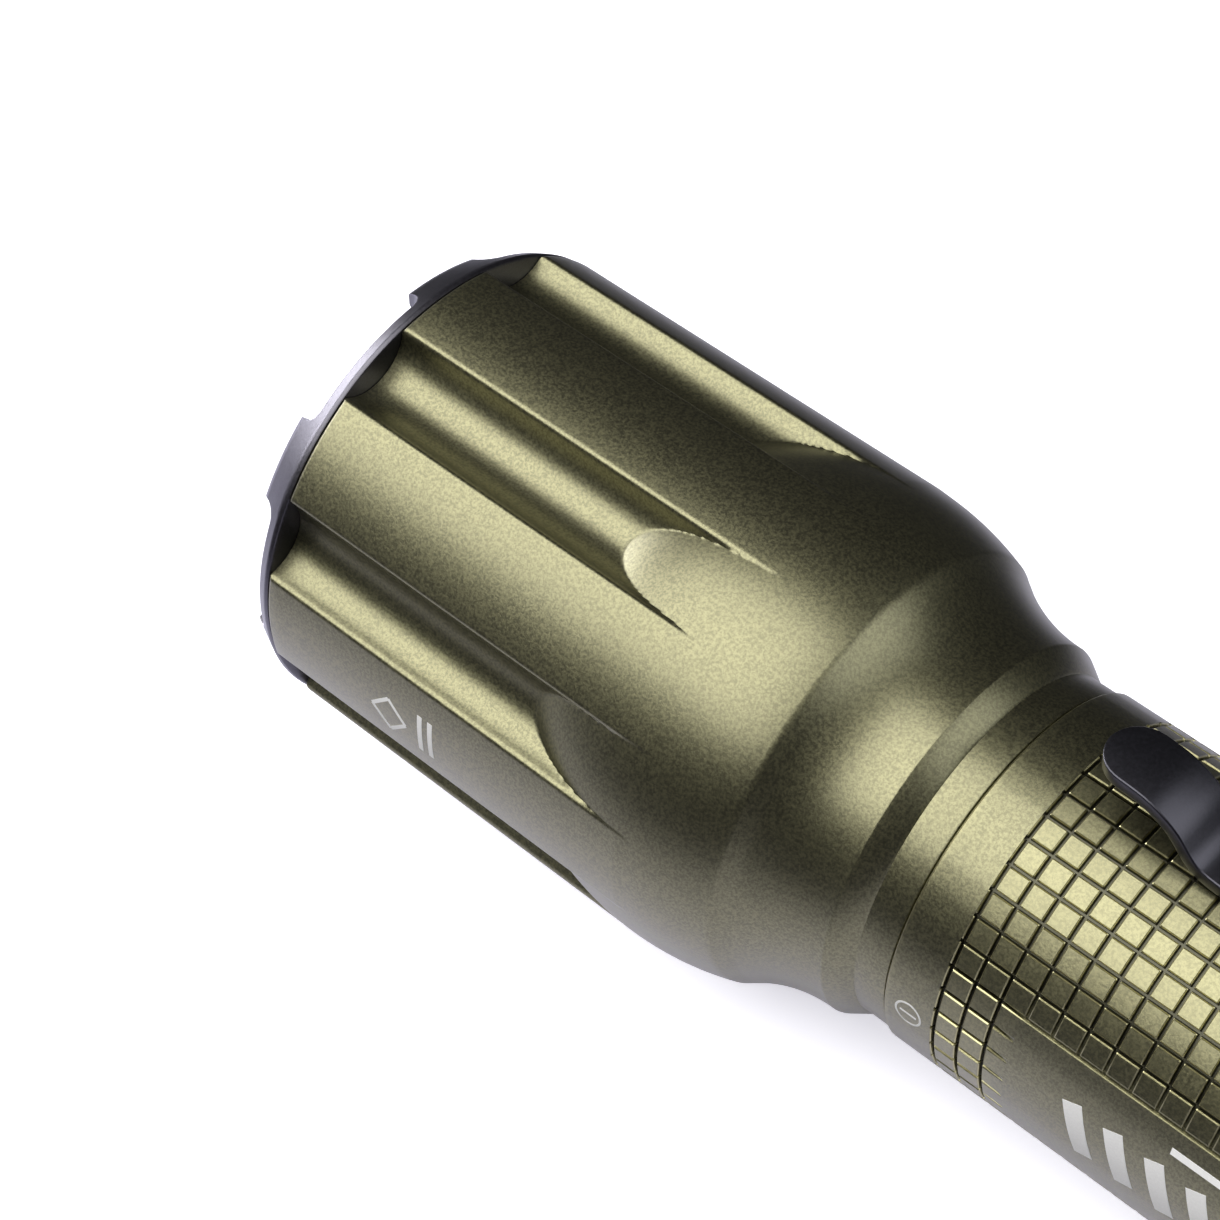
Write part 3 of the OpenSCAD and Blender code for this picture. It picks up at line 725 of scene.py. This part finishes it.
def clip_arm_mesh():
    """Sections of the clip's arm: up from the band, down to a valley and up to a round tip."""
    low_x = reach("clip_arm")[0]
    tip_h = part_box("clip_arm")[1].z / MM - CLIP_THICK / 2
    valley_x, valley_h = HEAD_BACK + 14.2, 13.4
    root = BAND_OUT_R - CLIP_THICK / 2
    line = [(BAND_FRONT + 3, root), (BAND_FRONT + 0.4, root + 0.02), (BAND_FRONT - 1.6, root + 0.6),
            (BAND_FRONT - 4, root + 2), (BAND_FRONT - 6.8, 15.75), (BAND_FRONT - 12, 15.6),
            (valley_x + 9, valley_h + 0.8), (valley_x + 3.2, valley_h + 0.14), (valley_x + 0.8, valley_h),
            (valley_x - 1.1, valley_h + 0.35), (valley_x - 3.3, tip_h - 1.0), (valley_x - 5, tip_h - 0.22),
            (valley_x - 6.6, tip_h), (low_x, tip_h - 0.02)]
    path, length = smooth_path(line, CLIP_STEPS)
    steps, last = range(CLIP_STEPS), CLIP_STEPS - 1
    left = np.linspace(length, 0, CLIP_STEPS)
    tip = last - CLIP_TIP_STEPS * (1 - np.sin(np.linspace(0.06, math.pi / 2, 16)))
    rings = []
    for at in np.concatenate([np.linspace(0, last - CLIP_TIP_STEPS, 90), tip]):
        point = np.array([np.interp(at, steps, path[:, k]) for k in (0, 1)])
        ahead = np.array([np.interp(min(at + 1, last), steps, path[:, k]) for k in (0, 1)])
        back = np.array([np.interp(max(at - 1, 0), steps, path[:, k]) for k in (0, 1)])
        run = (ahead - back) / np.linalg.norm(ahead - back)
        to_tip = np.interp(at, steps, left)
        half = CLIP_WIDTH / 2
        if to_tip < half:
            half = math.sqrt(max(half ** 2 - (half - to_tip) ** 2, 0.003))
        section = sheet_section(half, CLIP_THICK)
        up = np.array([run[1], -run[0]])
        x = point[0] + section[:, 1] * up[0]
        z = point[1] + section[:, 1] * up[1]
        rings.append(np.stack([x, section[:, 0], z], -1))
    return np.array(rings)


def capped_tube(name, rings, sharp=40):
    """A closed mesh through a row of closed sections, with flat ends."""
    rows, columns = rings.shape[:2]
    faces = []
    for i in range(rows - 1):
        for k in range(columns):
            k2 = (k + 1) % columns
            faces.append((i * columns + k, i * columns + k2, (i + 1) * columns + k2, (i + 1) * columns + k))
    faces += [tuple(range(columns)), tuple(range((rows - 1) * columns, rows * columns))]
    mesh = bpy.data.meshes.new(name)
    mesh.from_pydata((rings.reshape(-1, 3) * MM).tolist(), [], faces)
    finish_mesh(mesh, sharp)
    return mesh


def clip_band_mesh():
    """Sections of the clip's spring band: an open ring with rounded edges."""
    thick = BAND_OUT_R - CLIP_BAND_R
    middle = (BAND_FRONT + BAND_BACK) / 2
    section = sheet_section((BAND_BACK - BAND_FRONT) / 2, thick)
    rings = []
    for a in np.linspace(-CLIP_BAND_ENDS, CLIP_BAND_ENDS, 120):
        rings.append(around(middle + section[:, 0], CLIP_BAND_R + thick / 2 + section[:, 1], a))
    return np.array(rings)


def join_meshes(name, meshes):
    """One object from several meshes, united where they meet."""
    first = add_object(name, meshes[0], None)
    for mesh in meshes[1:]:
        other = add_object("part", mesh, None)
        step = first.modifiers.new("unite", "BOOLEAN")
        step.operation, step.solver, step.object = "UNION", "EXACT", other
        bpy.context.view_layer.update()
        made = bpy.data.meshes.new_from_object(first.evaluated_get(bpy.context.evaluated_depsgraph_get()))
        first.modifiers.clear()
        first.data = made
        bpy.data.objects.remove(other)
    finish_mesh(first.data, 40)
    return first


def make_clip(materials):
    """Pocket clip, one piece of black spring steel that bends at its root."""
    band, arm = capped_tube("band", clip_band_mesh()), capped_tube("arm", clip_arm_mesh())
    clip = join_meshes("pocket_clip", [band, arm])
    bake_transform(clip)
    dress(clip, materials["clip"], "black_steel", "clip_band", "clip_arm")


# ---------------------------------------------------------------- tail boot, springs and light engine

def make_boot(materials):
    """Rubber boot: flange, flexible skirt and a domed button with fine rings on top."""
    flange_front, flange_back, flange_out = reach("boot_flange")
    _, top, button_r = reach("boot_dome")
    r, wall = button_r, 1.1
    outline = [(flange_front, 5.9), (flange_front, flange_out), (flange_back, flange_out)]
    outline += [(flange_back, r - 0.1), (flange_back + 0.8, r - 0.25), (flange_back + 1.3, r)]
    for a in np.linspace(0, 1.45, 10):
        outline.append((top - 1.6 + 1.6 * math.sin(a), r - 1.6 + 1.6 * math.cos(a)))
    for ridge in (4.2, 3.0, 1.8):
        outline += [(top, ridge + 0.35), (top - 0.16, ridge + 0.2)]
        outline += [(top - 0.16, ridge - 0.2), (top, ridge - 0.35)]
    outline += [(top, 0), (top - wall, 0), (top - wall, r - 1.7), (top - wall - 0.7, r - wall)]
    outline += [(flange_back + 1.3, r - wall), (flange_front + 0.4, 5.9)]
    boot = add_object("tail_boot", lathe("boot", outline, 160, 0.06), None)
    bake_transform(boot)
    dress(boot, materials["rubber"], "black_rubber", "boot_flange", "boot_dome")


def coil_mesh(name, node, turns, r1, r2, wire_r, sides=14, steps=56):
    """A coil spring that fills a CAD node's length, with closed, flattened end turns."""
    front, back, _ = reach(node)
    count = int(turns * steps)
    t = np.linspace(0, 1, count + 1)
    turn = 2 * math.pi * turns * t
    rise = np.clip((t * turns - 0.7) / (turns - 1.4), 0, 1)
    x = front + wire_r + (back - front - 2 * wire_r) * (0.04 * t + 0.96 * rise)
    r = r1 + (r2 - r1) * rise
    rings = []
    for k in range(sides):
        b = 2 * math.pi * k / sides
        rr = r + wire_r * math.cos(b)
        rings.append(np.stack([x + wire_r * math.sin(b), rr * np.cos(turn), rr * np.sin(turn)], -1))
    return capped_tube(name, np.stack(rings, 1), 60)


def make_springs(materials):
    """Two contact springs and the switch's return spring."""
    coil = coil_mesh("head_coil", "head_spring", 3.6, 3.6, 2.1, 0.35)
    head = add_object("head_contact_spring", coil, "head")
    dress(head, materials["gold"], "gold_spring", "head_spring")
    coil = coil_mesh("tail_coil", "tail_spring", 5.2, 4.2, 6.6, 0.45)
    tail = add_object("tail_contact_spring", coil, "tail_cap")
    dress(tail, materials["gold"], "gold_spring", "tail_spring")
    coil = coil_mesh("return_coil", "return_spring", 4, 2.1, 2.1, 0.22)
    small = add_object("switch_return_spring", coil, "tail_cap")
    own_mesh(small)
    dress(small, materials["steel"], "steel", "return_spring")


def make_lens(materials):
    """Flat glass lens with small bevels."""
    front, back, r = reach("front_lens")
    mesh = lathe("lens", [(front, 0), (front, r), (back, r), (back, 0)], 160, 0.25)
    dress(add_object("lens_glass", mesh, "head"), materials["glass"], "clear_glass", "front_lens")


def make_mirror(materials):
    """Reflector: a smooth parabolic bowl with its rim, back wall and skirt."""
    front, back, rim = reach("reflector")
    focal, vertex, hole_r = 2.18, HEAD_BACK - 20.8, 5.2
    hole_x, skirt_back, skirt_front = HEAD_BACK - 22.25, HEAD_BACK - 24, HEAD_BACK - 39.6

    def bowl_r(x):
        return math.sqrt(4 * focal * (vertex - x))

    outline = []
    for r in np.linspace(bowl_r(front), bowl_r(hole_x), 72):
        outline.append((vertex - r * r / (4 * focal), r))
    outline += [(hole_x, hole_r), (HEAD_BACK - 22.8, hole_r), (HEAD_BACK - 22.8, 10.3), (back, 10.3)]
    outline += [(back, rim), (skirt_back, rim)]
    for x in np.linspace(skirt_back, skirt_front, 20):
        outline.append((x, min(bowl_r(x) + 1.2, rim - 0.1)))
    outline += [(skirt_front, rim), (front, rim)]
    mesh = lathe("mirror", outline, 224, 0)
    dress(add_object("mirror_bowl", mesh, "head"), materials["mirror"], "mirror_aluminium", "reflector")


def make_led(materials):
    """LED: ceramic body, yellow phosphor square and a clear silicone dome."""
    back = reach("led_emitter")[1]
    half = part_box("led_emitter")[1].z / MM
    dome_r, chip_half = 1.5, 0.85
    face = back - 0.55
    work = bmesh.new()
    for low, high, index in (((face, -half, -half), (back, half, half), 0),
                             ((face - 0.06, -chip_half, -chip_half), (face + 0.1, chip_half, chip_half), 1)):
        made = bmesh.ops.create_cube(work, size=1)["verts"]
        size, middle = np.subtract(high, low), np.add(high, low) / 2
        for v in made:
            v.co = Vector(np.array(v.co) * size + middle) * MM
        for f in {f for v in made for f in v.link_faces}:
            f.material_index = index
        edges = list({e for v in made for e in v.link_edges})
        bmesh.ops.bevel(work, geom=edges, offset=0.06 * MM, segments=2, affect="EDGES")
    steps, rows = 48, 12
    rings = []
    for e in np.linspace(0, 1.45, rows):
        x, r = face * MM - dome_r * MM * math.sin(e), dome_r * MM * math.cos(e)
        rings.append([work.verts.new(around(x, r, 360 * k / steps)) for k in range(steps)])
    for low, high in zip(rings, rings[1:]):
        for k in range(steps):
            work.faces.new((low[k], low[(k + 1) % steps], high[(k + 1) % steps], high[k])).material_index = 2
    work.faces.new(rings[-1]).material_index = 2
    work.faces.new(rings[0][::-1]).material_index = 2
    bmesh.ops.recalc_face_normals(work, faces=work.faces)
    mesh = bpy.data.meshes.new("led")
    work.to_mesh(mesh)
    work.free()
    mesh.shade_smooth()
    mesh.set_sharp_from_angle(angle=math.radians(35))
    piece = add_object("led_package", mesh, "head")
    for material in ("white_plastic", "phosphor", "silicone"):
        mesh.materials.append(materials[material])
    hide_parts("led_emitter")


# ---------------------------------------------------------------- printed marks

def wrap(points, s, angle, r):
    """Flat points, along the axis and round it, laid on a cylinder about a place on it."""
    points = np.array(points, float)
    return around(HEAD_BACK + s + points[:, 0], r, angle + np.degrees(points[:, 1] / r))


def strip_patch(left, right, s, angle, r, closed=False):
    """Points and faces of a thin printed strip between two rows of flat points."""
    count = len(left)
    layers = [wrap(side, s, angle, r + lift) for lift in (0.012, -0.05) for side in (left, right)]
    points = np.concatenate(layers)
    faces = []
    for k in range(count if closed else count - 1):
        n = (k + 1) % count
        top = (k, n, count + n, count + k)
        faces += [top, tuple(2 * count + v for v in top[::-1])]
        faces += [(k, 2 * count + k, 2 * count + n, n), (count + k, count + n, 3 * count + n, 3 * count + k)]
    if not closed:
        for k in (0, count - 1):
            faces.append((k, count + k, 3 * count + k, 2 * count + k))
    return points, faces


def bar_rows(start, end, width, steps=10):
    """Two rows of points along the sides of a straight bar."""
    start, end = np.array(start, float), np.array(end, float)
    run = (end - start) / np.linalg.norm(end - start)
    side = np.array([-run[1], run[0]]) * width / 2
    middle = [start + (end - start) * t for t in np.linspace(0, 1, steps)]
    return [p + side for p in middle], [p - side for p in middle]


def ring_rows(radius, width, steps=64):
    """Two rows of points round a ring."""
    turns = [2 * math.pi * k / steps for k in range(steps)]
    sides = (radius - width / 2, radius + width / 2)
    return [[(q * math.cos(a), q * math.sin(a)) for a in turns] for q in sides]


def make_mark(name, body, strips, materials):
    """A printed mark made of strips, each with its place."""
    points, faces = [], []
    for rows, closed, s, angle, r in strips:
        more, more_faces = strip_patch(rows[0], rows[1], s, angle, r, closed)
        start = sum(len(p) for p in points)
        points.append(more)
        faces += [tuple(start + v for v in f) for f in more_faces]
    mesh = bpy.data.meshes.new(name)
    mesh.from_pydata((np.concatenate(points) * MM).tolist(), [], faces)
    finish_mesh(mesh)
    dress(add_object(name, mesh, body), materials["print"], None)


def make_marks(materials):
    """Index ring on the tube, plain bars on the panel and a plain diamond with bars on the head."""
    index = [(ring_rows(0.92, 0.15), True, 1.94, 91, BODY_R),
             (bar_rows((-0.62, 0), (0.62, 0), 0.16), False, 1.94, 91, BODY_R)]
    make_mark("index_mark", "tube", index, materials)
    bars = []
    for k in range(9):
        x = 14.4 + 2.9 * k
        bars.append((bar_rows((x + 0.7, 2.05), (x - 0.7, -2.05), 1.35), False, 0, 89, BODY_R))
    bars.append((bar_rows((20.2, -3.6), (40, -3.6), 0.5, 4), False, 0, 89, BODY_R))
    make_mark("panel_mark", "tube", bars, materials)
    corners = [(0, 1.5), (1.5, 0), (0, -1.5), (-1.5, 0)]
    edges = zip(corners, corners[1:] + corners[:1])
    diamond = [(bar_rows(a, b, 0.28), False, -HEAD_LEN + 11.2, 91, HEAD_R) for a, b in edges]
    bar = bar_rows((0, -1.7), (0, 1.7), 0.42)
    side = [(bar, False, -HEAD_LEN + 14 + 0.9 * k, 90, HEAD_R) for k in range(2)]
    make_mark("head_mark", "head", diamond + side, materials)


# ---------------------------------------------------------------- carried-over CAD nodes

CARRIED = {
    "rubber": ["lens_oring", "head_seal_ring", "tail_seal_ring"],
    "white_plastic": ["led_gasket", "switch_stem"],
    "white_mask": ["led_board"],
    "steel": ["led_board_screws", "switch_ring"],
    "red": ["led_wires"],
    "aluminium": ["heat_sink"],
    "green_board": ["driver_board", "switch_board"],
    "chip": ["driver_chip"],
    "ferrite": ["driver_coil"],
    "brass": ["driver_ring", "switch_terminals", "contact_bridge"],
    "can": ["battery_cell"],
    "wrap": ["battery_wrapper"],
    "black_plastic": ["switch_housing"],
}


def dress_carried(materials):
    """Gives every CAD node that stays visible its procedural finish."""
    for finish, nodes in CARRIED.items():
        for node in nodes:
            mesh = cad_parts[node].data
            mesh.materials.clear()
            mesh.materials.append(materials[finish])


# ---------------------------------------------------------------- stage

CAMERA_AT = (0.0605, -0.1053, 0.1632)
CAMERA_LOOK = (-0.4404, 0.4824, -0.7572)
LENS = 96.4


def flat_plane(name, size, at, tilt=0):
    """A square plane."""
    half = size / 2
    mesh = bpy.data.meshes.new(name)
    corners = [(-half, -half, 0), (half, -half, 0), (half, half, 0), (-half, half, 0)]
    mesh.from_pydata(corners, [], [(0, 1, 2, 3)])
    plane = bpy.data.objects.new(name, mesh)
    bpy.context.scene.collection.objects.link(plane)
    plane.location, plane.rotation_euler = at, (0, tilt, 0)
    return plane


def make_floor():
    """Pale floor under the barrel and the tail cap, and a card below it that only reflections see, its
    colour fading from lilac to near black away from the axis as a painted reflection of the floor's light
    falling off.
    """
    front_x, back_x = HEAD_BACK - DOME_TOP, TAIL_END - 0.5
    slope = (HEAD_R - CAP_R) / (back_x - front_x)
    z = -HEAD_R - front_x * slope
    floor = flat_plane("floor", 8, (0, 0, (z - 0.02) * MM), -math.atan(slope))
    look = Look("pale_floor", Roughness=0.85, Specular_IOR_Level=0.1)
    grain = look.noise(60, 3)
    mottle = look.between(grain, 0, 1)
    look.use("Base Color", look.blend(mottle, (0.86, 0.86, 0.9, 1), (0.88, 0.88, 0.92, 1)))
    look.shader.inputs["Emission Color"].default_value = (0.92, 0.91, 1, 1)
    look.shader.inputs["Emission Strength"].default_value = 0.55
    floor.data.materials.append(look.material)
    floor.visible_glossy = floor.visible_diffuse = floor.visible_shadow = False
    card = flat_plane("bounce_card", 3, (0, 0, (z - 0.03) * MM), -math.atan(slope))
    look = Look("card_painted_reflection", Roughness=0.9, Specular_IOR_Level=0.1)
    side = look.add("SeparateXYZ", _0=look.place()).outputs["Y"]
    away = look.add("Math", {"operation": "ABSOLUTE"}, _0=side).outputs[0]
    # Painted reflection: the card's colour fades to near black away from the axis, standing in for the
    # floor's light falling off.
    fade = look.between(away, 0, 1, 0.03, 0.09)
    look.use("Base Color", look.blend(fade, (0.7, 0.69, 0.84, 1), (0.04, 0.04, 0.045, 1)))
    card.data.materials.append(look.material)
    card.visible_camera = card.visible_diffuse = card.visible_transmission = card.visible_shadow = False


def soft_box(name, at, aim, width, height, radiance, colour):
    """A rectangular soft box of an even radiance that faces a point."""
    light = bpy.data.lights.new(name, "AREA")
    light.shape, light.size, light.size_y = "RECTANGLE", width, height
    light.energy = radiance * math.pi * width * height
    light.color = colour
    lamp = bpy.data.objects.new(name, light)
    bpy.context.scene.collection.objects.link(lamp)
    lamp.location = at
    way = Vector(aim) - Vector(at)
    lamp.rotation_euler = way.to_track_quat("-Z", "Y").to_euler()
    lamp.visible_camera = False


def make_lights():
    """A large soft box overhead, a weaker one behind, a small one in front, and a dim surround."""
    lean, distance = math.radians(24.5), 0.6
    key_at = Vector((-0.36, -distance * math.sin(lean), distance * math.cos(lean)))
    soft_box("key", key_at, (-0.36, 0, 0), 1.0, 0.68, 4.1, (1, 0.99, 0.97))
    soft_box("rear", (0.45, 0.16, 0.42), (0, 0, 0), 0.5, 0.5, 2.2, (0.97, 0.98, 1))
    soft_box("side", (-0.7, -0.08, 0.16), (-0.05, 0, 0), 0.45, 0.22, 11, (0.97, 0.96, 1))
    world = bpy.data.worlds.new("surround")
    bpy.context.scene.world = world
    world.use_nodes = True
    world.node_tree.nodes["Background"].inputs["Color"].default_value = (0.9, 0.9, 1, 1)
    world.node_tree.nodes["Background"].inputs["Strength"].default_value = 0.05


def make_camera():
    """The photograph's viewpoint."""
    data = bpy.data.cameras.new("camera")
    data.lens, data.sensor_width = LENS, 36
    data.clip_start = 0.01
    camera = bpy.data.objects.new("camera", data)
    bpy.context.scene.collection.objects.link(camera)
    camera.location = CAMERA_AT
    camera.rotation_euler = Vector(CAMERA_LOOK).to_track_quat("-Z", "Y").to_euler()
    bpy.context.scene.camera = camera
    bpy.context.scene.view_settings.view_transform = "Standard"


def main():
    materials = make_materials()
    for make in (make_head, make_crown, make_tube, make_cap, make_clip, make_boot, make_springs, make_lens,
                 make_mirror, make_led, make_marks, dress_carried):
        make(materials)
    make_floor()
    make_lights()
    make_camera()


main()
